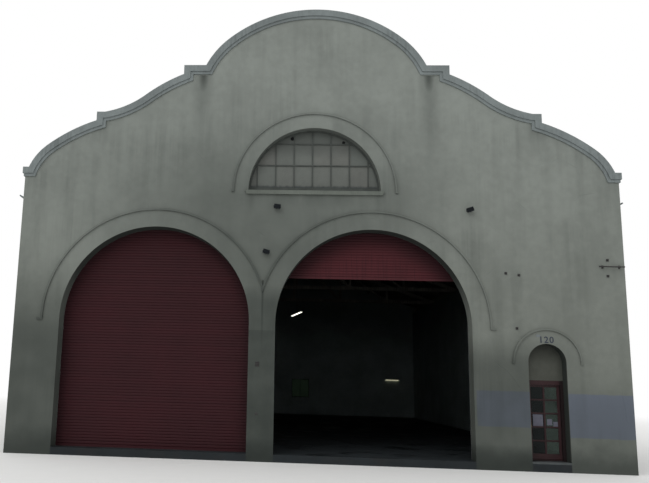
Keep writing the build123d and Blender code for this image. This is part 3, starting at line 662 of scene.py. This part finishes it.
class Shape:
    """A mesh under way; what is added to it stands in its place, which moves from part to part."""

    def __init__(self):
        self.mesh = bmesh.new()
        self.place = Matrix.Identity(4)

    def block(self, centre, size, bevel=0.0):
        """A block, with bevelled edges if wished."""
        made = bmesh.ops.create_cube(self.mesh, size=1.0, matrix=Matrix.Diagonal((*size, 1)))["verts"]
        if bevel:
            edges = dict.fromkeys(edge for vert in made for edge in vert.link_edges)
            made = bmesh.ops.bevel(self.mesh, geom=list(edges), offset=bevel, segments=2, profile=0.6,
                                   affect="EDGES")["verts"]
        bmesh.ops.transform(self.mesh, matrix=self.place @ Matrix.Translation(centre), verts=made)

    def plate(self, wide, tall, thick=0.008, bevel=0.002):
        """A flat plate that lies on the wall."""
        self.block((0, -thick / 2, 0), (wide, thick, tall), bevel)

    def rod(self, start, end, radius, sides=12):
        """A round bar between two points."""
        start, end = self.place @ Vector(start), self.place @ Vector(end)
        line = end - start
        turn = line.to_track_quat("Z", "Y").to_matrix().to_4x4()
        bmesh.ops.create_cone(self.mesh, cap_ends=True, segments=sides, radius1=radius, radius2=radius,
                              depth=line.length, matrix=Matrix.Translation((start + end) / 2) @ turn)

    def corners(self, points):
        return [self.mesh.verts.new(self.place @ Vector(point)) for point in points]

    def skin(self, rings):
        """Faces from each ring of corners to the next."""
        for near, far in zip(rings, rings[1:]):
            for i in range(len(near)):
                j = (i + 1) % len(near)
                self.mesh.faces.new((near[i], near[j], far[j], far[i]))

    def ring(self, centre, radius, thickness, axis="X", turns=20, sides=8):
        """A round ring of round bar that stands across an axis."""
        rings = []
        for around in circle(turns):
            points = []
            for about in circle(sides):
                reach = radius + thickness * cos(about)
                point = [thickness * sin(about), reach * cos(around), reach * sin(around)]
                if axis == "Y":
                    point[:2] = point[1], point[0]
                points.append(Vector(centre) + Vector(point))
            rings.append(self.corners(points))
        self.skin(rings + rings[:1])

    def bolt(self, radius, height, sides=6):
        """A bolt head on a washer, pointing up Z."""
        rings = [self.corners((radius * wide * cos(turn), radius * wide * sin(turn), height * up)
                              for turn in circle(sides))
                 for wide, up in ((1.7, 0.0), (1.6, 0.25), (1.0, 0.25), (1.0, 0.8), (0.7, 1.0))]
        self.skin(rings)
        self.mesh.faces.new(rings[-1])

    def piece(self, name, finish, slot, smooth=35, body="building"):
        """The finished piece: it rides on a body and takes the finish that it is given; the slot is not
        used.
        """
        mesh = bpy.data.meshes.new(name)
        self.mesh.to_mesh(mesh)
        self.mesh.free()
        mesh.materials.append(finish.material)
        if smooth:
            mesh.shade_smooth()
            mesh.set_sharp_from_angle(angle=radians(smooth))
        piece = add_object(name, mesh)
        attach(piece, body)
        return piece


class Step:
    """What the steps share: each makes its finishes and pieces from a plan, its group of values."""

    def execute(self, context):
        self.make(getattr(context.scene, self.group.__name__))
        return {"FINISHED"}


class BARN_OT_plaster(Step, Operator):
    """Finish the plastered walls, the coping, the beads and the sill"""
    bl_idname = "barn.plaster"
    bl_label = "Plaster and mouldings"
    group = BarnPlaster

    def make(self, plan):
        coat(finish_plaster(plan), "front_left_pier", "front_middle_pier", "front_right_pier",
             "front_corner_pier", "front_door_arch", "front_left_spandrel", "front_right_spandrel",
             "front_gable", "side_wall_left", "side_wall_right", "rear_wall")
        coat(finish_moulding("coping plaster", plan.coping, plan.grime_and_shade, 0.06), "parapet_coping")
        coat(finish_bead(plan), "hood_mouldings")
        coat(finish_moulding("sill plaster", plan.sill, plan.grime_and_shade, 0.04), "lunette_sill")


class BARN_OT_shutters(Step, Operator):
    """Finish the roller shutters and their steelwork"""
    bl_idname = "barn.shutters"
    bl_label = "Roller shutters"
    group = BarnShutter

    def make(self, plan):
        coat(finish_shutter(plan), "shutter_left_curtain", "shutter_right_curtain",
             "shutter_bottom_bars")
        coat(finish_steel("shutter steel", plan.steel, srgb(96, 72, 58)),
             "shutter_left_coil", "shutter_right_coil", "shutter_guides", "shutter_brackets")


class BARN_OT_gable_window(Step, Operator):
    """Finish the half-round window and set the round holes in its panes"""
    bl_idname = "barn.gable_window"
    bl_label = "Gable window"
    group = BarnWindow

    def make(self, plan):
        coat(finish_panes(plan), "lunette_glass")
        coat(finish_steel("sash bars", plan.bars, srgb(50, 48, 44), 0.85),
             "lunette_sash", "rear_window_bars")
        darkened = plan.rear_glass
        coat(finish_glass("window glass", darkened, darkened, 1.0, 1.08, 0.3), "rear_window_glass")
        holes = Shape()
        for x, above_sill, share in ((-0.63, 1.63, 0.9), (0.85, 1.525, 0.7)):
            holes.place = Matrix.Translation((x, low("lunette_glass").y, sill_high.z + above_sill))
            radius = plan.hole_radius * share
            holes.rod((0, -0.002, 0), (0, 0, 0), radius, 24)
            holes.ring((0, -0.004, 0), radius, 0.006, "Y", 24)
        holes.piece("pane_holes", finish_paint("hole edge", srgb(14, 15, 16), 0.9), "painted_glass", 0)


def pane_boxes():
    """Middle of the street side, width and height of each door pane, read from the solid panes."""
    corners = [vert.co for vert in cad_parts["door_panes"].data.vertices]
    xs = sorted({round(corner.x, 3) for corner in corners})
    zs = sorted({round(corner.z, 3) for corner in corners})
    face_y = min(corner.y for corner in corners)
    return [((left + right) / 2, face_y, (foot + top) / 2, right - left, top - foot)
            for left, right in zip(xs[::2], xs[1::2]) for foot, top in zip(zs[::2], zs[1::2])]


class BARN_OT_foot_door(Step, Operator):
    """Finish the foot door and add its glazing beads and the notices on its glass"""
    bl_idname = "barn.foot_door"
    bl_label = "Foot door"
    group = BarnDoor

    def make(self, plan):
        paint = finish_door_paint(plan)
        coat(paint, "door_frame", "door_leaf")
        coat(finish_infill(plan), "door_infill_panel")
        coat(finish_glass("door glass", plan.glass, plan.dusty_glass, 0.8), "door_panes")
        coat(finish_brass(plan), "door_knobs")
        coat(finish_steel("hinge steel", srgb(92, 90, 86), srgb(120, 84, 60), 0.45, 0.05),
             "door_hinge_posts", "door_hinge_knuckles")
        self.bead_panes(paint)
        self.hang_notices(plan)

    def bead_panes(self, paint):
        """Thin beads round each pane on the street side, and a drip bar over the bottom rail."""
        beads = Shape()
        bead = 0.009
        deep = bead * 1.8
        for x, face_y, z, wide, tall in pane_boxes():
            y = face_y - deep / 2
            for way in (-1, 1):
                beads.block((x, y, z + way * (tall - bead) / 2), (wide, deep, bead), 0.002)
                beads.block((x + way * (wide - bead) / 2, y, z), (bead, deep, tall - 2 * bead), 0.002)
        beads.block((leaf_x, leaf_low.y - 0.009, leaf_low.z + 0.05),
                    (leaf_high.x - leaf_low.x - 0.03, 0.022, 0.03), 0.006)
        beads.piece("glazing_beads", paint, "door_paint", 40, "door")

    def hang_notices(self, plan):
        """Blank notices pasted on the glass of the middle row."""
        panes = pane_boxes()
        left_pane, right_pane = panes[2], panes[len(panes) // 2 + 2]
        notices = Shape()
        for (x, glass_y, z, wide, tall), right, up, share_x, share_z in (
                (left_pane, 0.03, -0.01, 0.78, 0.92), (right_pane, -0.16, -0.14, 0.40, 0.48),
                (right_pane, 0.30, -0.285, 0.36, 0.37)):
            notices.block((x + wide * right, glass_y - 0.0008, z + tall * up),
                          (wide * share_x, 0.001, tall * share_z))
        paper = finish_paint("notice paper", plan.notice, 0.8, 0.08)
        notices.piece("door_notices", paper, "infill_board", 0, "door")


class BARN_OT_roof(Step, Operator):
    """Finish roof, gutters, timbers and floor"""
    bl_idname = "barn.roof"
    bl_label = "Roof, gutters and hall"
    group = BarnRoof

    def make(self, plan):
        sheet = finish_roof_sheet(plan)
        coat(sheet, "ridge_cap")
        coat(finish_timber("roof boards", plan, True), "roof_slope_left", "roof_slope_right")
        gutter = finish_steel("gutter paint", plan.gutter, plan.rust, 0.55, 0.6)
        coat(gutter, "gutters")
        self.lay_sheets(plan, sheet)
        self.screw_down(plan, gutter)
        self.strap_gutters(gutter)
        coat(finish_timber("truss timber", plan), *(f"roof_truss_{i}" for i in range(1, 5)))
        coat(finish_timber("purlin timber", plan, True), "purlins", "ridge_beam")
        coat(finish_concrete("hall floor", srgb(24, 30, 33), srgb(14, 17, 19)), "floor_slab")
        coat(finish_concrete("threshold", srgb(66, 70, 71), srgb(48, 50, 50)), "door_threshold")

    def lay_sheets(self, plan, finish):
        """Corrugated sheets in lapped courses on each slope."""
        wave_steps = 8
        steps = wave_steps * round(sheets_run / plan.pitch)
        for side, name in ((1, "roof_sheets_right"), (-1, "roof_sheets_left")):
            sheets = Shape()
            for number in range(COURSES):
                near_x = ridge_x + course * number
                far_x = near_x + course + (plan.lap if number < COURSES - 1 else 0.0)
                near, far = (sheets.corners((
                    side * x, sheets_start_y + sheets_run * i / steps, slope_high.z - fall * x + lift
                    + plan.depth * (0.5 - 0.5 * cos(2 * pi * i / wave_steps)))
                    for i in range(steps + 1)) for x, lift in ((near_x, 0.002), (far_x, 0.006)))
                for i in range(steps):
                    quad = (near[i], far[i], far[i + 1], near[i + 1])
                    sheets.mesh.faces.new(quad if side > 0 else quad[::-1])
            sheets.piece(name, finish, "roof_sheet", 60)

    def screw_down(self, plan, finish):
        """Domed screws on the crests of the sheets along every purlin and at the laps."""
        waves = round(sheets_run / plan.pitch)
        screws = Shape()
        for x in (slope_high.x * k / 5 for k in (0.12, 1, 2, 3, 4, 4.9)):
            z = slope_high.z - fall * x + plan.depth + 0.003
            for i in range(1, waves, 4):
                y = sheets_start_y + (i + 0.5) * sheets_run / waves
                for side in (1, -1):
                    screws.place = (Matrix.Translation((side * x, y, z))
                                    @ Matrix.Rotation(side * atan(fall), 4, "Y"))
                    screws.bolt(0.008, 0.012)
        screws.piece("roof_screws", finish, "gutter_metal", 0)

    def strap_gutters(self, finish):
        """Flat straps across the gutters."""
        gutter_low, gutter_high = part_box("gutters")
        straps = Shape()
        count = 34
        inner_x, outer_x = half_width + 0.03, gutter_high.x
        for i in range(count):
            y = gutter_low.y + (gutter_high.y - gutter_low.y) * (i + 0.5) / count
            for side in (1, -1):
                straps.block((side * (inner_x + outer_x) / 2, y, gutter_high.z - 0.002),
                             (outer_x - inner_x, 0.03, 0.004))
        straps.piece("gutter_straps", finish, "gutter_metal", 0)


class BARN_OT_fittings(Step, Operator):
    """Finish the floodlights and set the house digits and small plates on the wall"""
    bl_idname = "barn.fittings"
    bl_label = "Fittings on the wall"
    group = BarnFitting

    def make(self, plan):
        rusty = finish_steel("wall steel", srgb(46, 45, 45), srgb(78, 60, 50), 0.6, 0.06)
        coat(rusty, "pipe_bracket")
        self.mount_floodlights(plan, rusty)
        self.hang_strips(plan, rusty)
        self.paint_digits(plan)
        self.fix_anchors(rusty)
        self.clamp_pipe(rusty)
        self.fix_plates(plan, rusty)

    def mount_floodlights(self, plan, steel):
        """Floodlights with a bezel, fins, glass, a yoke and its wall plate."""
        housings, yokes, lenses = Shape(), Shape(), Shape()
        wide, tall, deep = 0.19, 0.12, 0.095
        rim, lip, strap, sheet = 0.014, 0.016, 0.028, 0.004
        stand = 0.06
        for x, z, tilt in ((-1.0385, 6.986, 7), (-1.3265, 5.685, 17), (4.3015, 6.966, -19)):
            housings.place = yokes.place = lenses.place = on_front(x, z, stand + deep / 2, tilt, "Y")
            housings.block((0, 0.006, 0), (wide * 0.92, deep * 0.86, tall * 0.9), 0.008)
            for side in (1, -1):
                edge_x, lip_y = side * wide / 2, (lip - deep) / 2
                housings.block((0, lip_y, side * (tall - rim) / 2), (wide, lip, rim), 0.004)
                housings.block((side * (wide - rim) / 2, lip_y, 0), (rim, lip, tall - 2 * rim), 0.004)
                yokes.block((edge_x + side * sheet, 0.02, 0), (sheet, deep * 0.9, strap), 0.001)
                yokes.rod((edge_x + side * 0.002, -0.012, 0), (edge_x + side * rim, -0.012, 0), 0.011, 6)
            for i in range(7):
                housings.block(((i - 3) * 0.024, deep / 2 - 0.012, 0), (0.005, 0.02, tall * 0.84))
            lenses.block((0, 0.013 - deep / 2, 0), (wide - 0.03, 0.005, tall - 0.03), 0.001)
            yokes.block((0, deep / 2 + 0.012, 0), (wide + 0.012, sheet, strap), 0.001)
            yokes.place = on_front(x, z)
            yokes.plate(0.11, 0.08)
            yokes.rod((0, -0.008, 0), (0, 0.004 - stand, 0), 0.018)
            yokes.rod((0, -0.006, -0.024), (0, -0.05, -0.03), 0.009)
        enamel = finish_steel("lamp housing", plan.housing, srgb(52, 50, 46), 0.6, 0.08, 0.1, 0.1)
        housing = housings.piece("floodlight_housings", enamel, "lamp_housing")
        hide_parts("floodlights")
        yokes.piece("floodlight_yokes", steel, "lamp_housing")
        glass = finish_paint("lamp glass", plan.lens, 0.25, gloss=0.1)
        lenses.piece("floodlight_lenses", glass, "clear_glass")

    def hang_strips(self, plan, steel):
        """Strip lights: a folded housing, end sockets, two tubes, and rods up to the truss."""
        housings, rods = Shape(), Shape()
        hung = Matrix.Translation(plan.strip) @ Matrix.Rotation(plan.strip_turn, 4, "Z")
        rear_x, rear_z = plan.rear_strip
        on_wall = Matrix.Translation((rear_x, rear_y - 0.045, rear_z))
        for name, place, size, light, strength in (
                ("hung", hung, plan.strip_length, (1.0, 0.98, 0.86), 2.0),
                ("rear", on_wall, plan.rear_strip_length, (1.0, 0.93, 0.66), 0.7)):
            tubes = Shape()
            housings.place = tubes.place = place
            housings.block((0, 0, 0.018), (size, 0.086, 0.03), 0.006)
            for y in (0.026, -0.026):
                for way in (1, -1):
                    housings.block((way * (size / 2 - 0.018), y, -0.008), (0.016, 0.024, 0.034), 0.003)
                tubes.rod((0.024 - size / 2, y, -0.012), (size / 2 - 0.024, y, -0.012), 0.013, 14)
            tubes.piece(name + "_strip_tubes", finish_tube(name + " strip lamp", light, strength),
                        "lamp_diffuser")
        top = low("roof_truss_2").z
        for x in (0.01, -0.01):
            foot = hung @ Vector((x, 0, 0.03))
            rods.rod(foot, (foot.x, foot.y, top), 0.006, 8)
        rods.block((*hung.translation.xy, top - 0.006), (0.08, 0.08, 0.012), 0.003)
        white = finish_paint("strip enamel", srgb(150, 152, 148), 0.5, 0.1)
        housing = housings.piece("strip_light_housings", white, "lamp_housing")
        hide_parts("strip_lights")
        rods.piece("strip_light_rods", steel, "lamp_housing")

    def paint_digits(self, plan):
        """Generic house digits, cut from sheet and set over the door."""
        curve = bpy.data.curves.new("house_digits", "FONT")
        curve.body = plan.digits_text
        curve.size = plan.digit_height / 0.7
        curve.extrude = 0.004
        curve.bevel_depth = 0.001
        curve.align_x = curve.align_y = "CENTER"
        curve.space_character = 1.16
        text = bpy.data.objects.new("house_digits_line", curve)
        mesh = bpy.data.meshes.new_from_object(text)
        bpy.data.objects.remove(text)
        mesh.transform(on_front(door_x - 0.005, plan.digits_z, 0.004, 90))
        digits = Shape()
        digits.mesh.from_mesh(mesh)
        bpy.data.meshes.remove(mesh)
        digits.piece("house_digits", finish_paint("digit paint", plan.digits, 0.5, 0.04),
                     "lamp_housing", 0)

    def fix_anchors(self, steel):
        """Old anchors with their rings."""
        anchors = Shape()
        for x, z in ((5.232, 5.218), (5.581, 5.174), (5.472, 3.721), (7.954, 5.630), (7.943, 5.192)):
            anchors.place = on_front(x, z)
            anchors.plate(0.07, 0.07)
            anchors.rod((0, -0.006, 0), (0, -0.045, 0), 0.01)
            anchors.ring((0, -0.062, 0), 0.022, 0.006)
        anchors.piece("wall_anchors", steel, "hinge_steel")

    def clamp_pipe(self, steel):
        """Clamps and end caps on the pipe bracket."""
        pipe_low, pipe_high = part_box("pipe_bracket")
        clamps = Shape()
        radius = (pipe_high.z - pipe_low.z) / 2
        pipe_y = pipe_low.y + radius - front_y
        for x, way in ((pipe_low.x, 1), (pipe_high.x, -1)):
            clamps.place = on_front(x, pipe_low.z + radius)
            clamps.rod((0, pipe_y, 0), (way * 0.03, pipe_y, 0), 0.022, 16)
            clamps.place = on_front(x + way * 0.11, pipe_low.z + radius)
            clamps.ring((0, pipe_y, 0), 0.021, 0.005)
            clamps.plate(0.05, 0.09)
        clamps.piece("pipe_clamps", steel, "hinge_steel")

    def fix_plates(self, plan, steel):
        """A blank plate beside the digits, and a louvred vent and a small cover on the middle pier."""
        bare = Shape()
        bare.place = on_front(6.02, plan.digits_z + 0.11)
        bare.plate(0.10, 0.07, 0.006)
        bare.piece("small_plate", finish_paint("bare plate", plan.plate, 0.5, 0.03), "hinge_steel")
        vents, screws = Shape(), Shape()
        vent_x, vent_z, cover_z = -1.515, 2.58, 1.255
        for z, wide, tall in ((vent_z, 0.11, 0.13), (cover_z, 0.07, 0.07)):
            vents.place = on_front(vent_x, z)
            vents.plate(wide, tall, 0.004, 0.001)
        for up in (-0.042, 0, 0.042):
            vents.place = on_front(vent_x, vent_z + up, 0.01, -35)
            vents.block((0, 0, 0), (0.10, 0.016, 0.006), 0.001)
        vents.piece("pier_vents", steel, "hinge_steel")
        for across in (0.047, -0.047):
            for up in (0.057, -0.057):
                screws.place = on_front(vent_x + across, vent_z + up, 0.004, 90)
                screws.bolt(0.004, 0.005)
        screws.piece("vent_screws", steel, "hinge_steel", 0)


class BARN_OT_stage(Step, Operator):
    """Set the camera, the plain floor, the even sky and the soft lamp"""
    bl_idname = "barn.stage"
    bl_label = "Stage"
    group = BarnStage

    def make(self, plan):
        scene = bpy.context.scene
        camera = scene.camera = add_object("camera", bpy.data.cameras.new("camera"))
        camera.data.lens = plan.lens
        camera.data.sensor_width = 36.0
        camera.data.shift_x = plan.shift
        camera.data.clip_end = 400.0
        camera.matrix_world = (
            Matrix.Translation(plan.camera) @ Matrix.Rotation(-plan.yaw, 4, "Z")
            @ Matrix.Rotation(pi / 2 + plan.pitch, 4, "X") @ Matrix.Rotation(plan.roll, 4, "Z"))
        scene.view_settings.view_transform = "Standard"
        self.lay_floor(plan)
        self.light(scene, plan)

    def lay_floor(self, plan):
        """A pale floor that turns to the white of the background far from the building."""
        mesh = bpy.data.meshes.new("floor")
        reach, z = 160.0, -0.001
        mesh.from_pydata([(-reach, -reach, z), (reach, -reach, z), (reach, reach, z), (-reach, reach, z)],
                         [], [(0, 1, 2, 3)])
        ground = Finish("floor", 0.9, gloss=0.5)
        speck = ground.noise(0.4, 3).fit(0.3, 0.7, 0.0, 0.3)
        ground.give(Base_Color=speck.mix(plan.ground, (0.76, 0.76, 0.75)))
        span = ground.add("VectorMath", {0: ground.place}, "Value", operation="LENGTH")
        away = span.fit(24.0, 60.0) * ground.add("LightPath", out="Is Camera Ray")
        near = Value(ground, ground.surface.outputs[0])
        white = ground.add("Emission", {"Color": (1.0, 1.0, 1.0)})
        ground.join(ground.add("MixShader", {0: away, 1: near, 2: white}),
                    ground.tree.nodes["Material Output"].inputs["Surface"])
        mesh.materials.append(ground.material)
        floor = add_object("floor", mesh)

    def light(self, scene, plan):
        """An even sky, white where it is seen, and one soft lamp."""
        world = scene.world = bpy.data.worlds.new("sky")
        world.use_nodes = True
        sky = Nodes(world.node_tree)
        camera, *others = (sky.add("LightPath", out=f"Is {kind} Ray")
                           for kind in ("Camera", "Glossy", "Transmission"))
        background = sky.tree.nodes["Background"].inputs
        sky.join((1.0, 1.0, 1.0), background["Color"])
        sky.join(camera.max(*others) * (1.0 - plan.sky) + plan.sky, background["Strength"])
        lamp = add_object("soft_lamp", bpy.data.lights.new("soft_lamp", "SUN"))
        lamp.data.energy = plan.lamp
        lamp.data.angle = radians(50)
        lamp.rotation_euler = Vector((0.38, 0.72, -0.72)).to_track_quat("-Z", "Y").to_euler()


STEPS = (BARN_OT_plaster, BARN_OT_shutters, BARN_OT_gable_window, BARN_OT_foot_door, BARN_OT_roof,
         BARN_OT_fittings, BARN_OT_stage)


class BARN_PT_panel(Panel):
    """The steps and sizes of the barn's finishes"""
    bl_idname = "BARN_PT_panel"
    bl_label = "Streetcar barn"
    bl_space_type = "VIEW_3D"
    bl_region_type = "UI"
    bl_category = "Barn"

    def draw(self, context):
        for step in STEPS:
            box = self.layout.box()
            box.operator(step.bl_idname)
            for field in step.group.__annotations__:
                box.prop(getattr(context.scene, step.group.__name__), field)


def register():
    for step in STEPS:
        bpy.utils.register_class(step.group)
        setattr(Scene, step.group.__name__, PointerProperty(type=step.group))
        bpy.utils.register_class(step)
    bpy.utils.register_class(BARN_PT_panel)


def unregister():
    bpy.utils.unregister_class(BARN_PT_panel)
    for step in reversed(STEPS):
        bpy.utils.unregister_class(step)
        delattr(Scene, step.group.__name__)
        bpy.utils.unregister_class(step.group)


def main():
    register()
    make_runs("Streaks", 0.08, 2.0, 0.5, 0.42, 0.72)
    make_runs("Grain", 0.012, 0.5, 0.55, 0.3, 0.7)
    for make in (make_clouds, make_stain, make_gateway_soot, make_painted_patch, make_hairlines,
                 make_settled_dust, make_inside):
        make()
    for step in STEPS:
        getattr(bpy.ops.barn, step.bl_idname.removeprefix("barn."))()


if __name__ == "__main__":
    main()
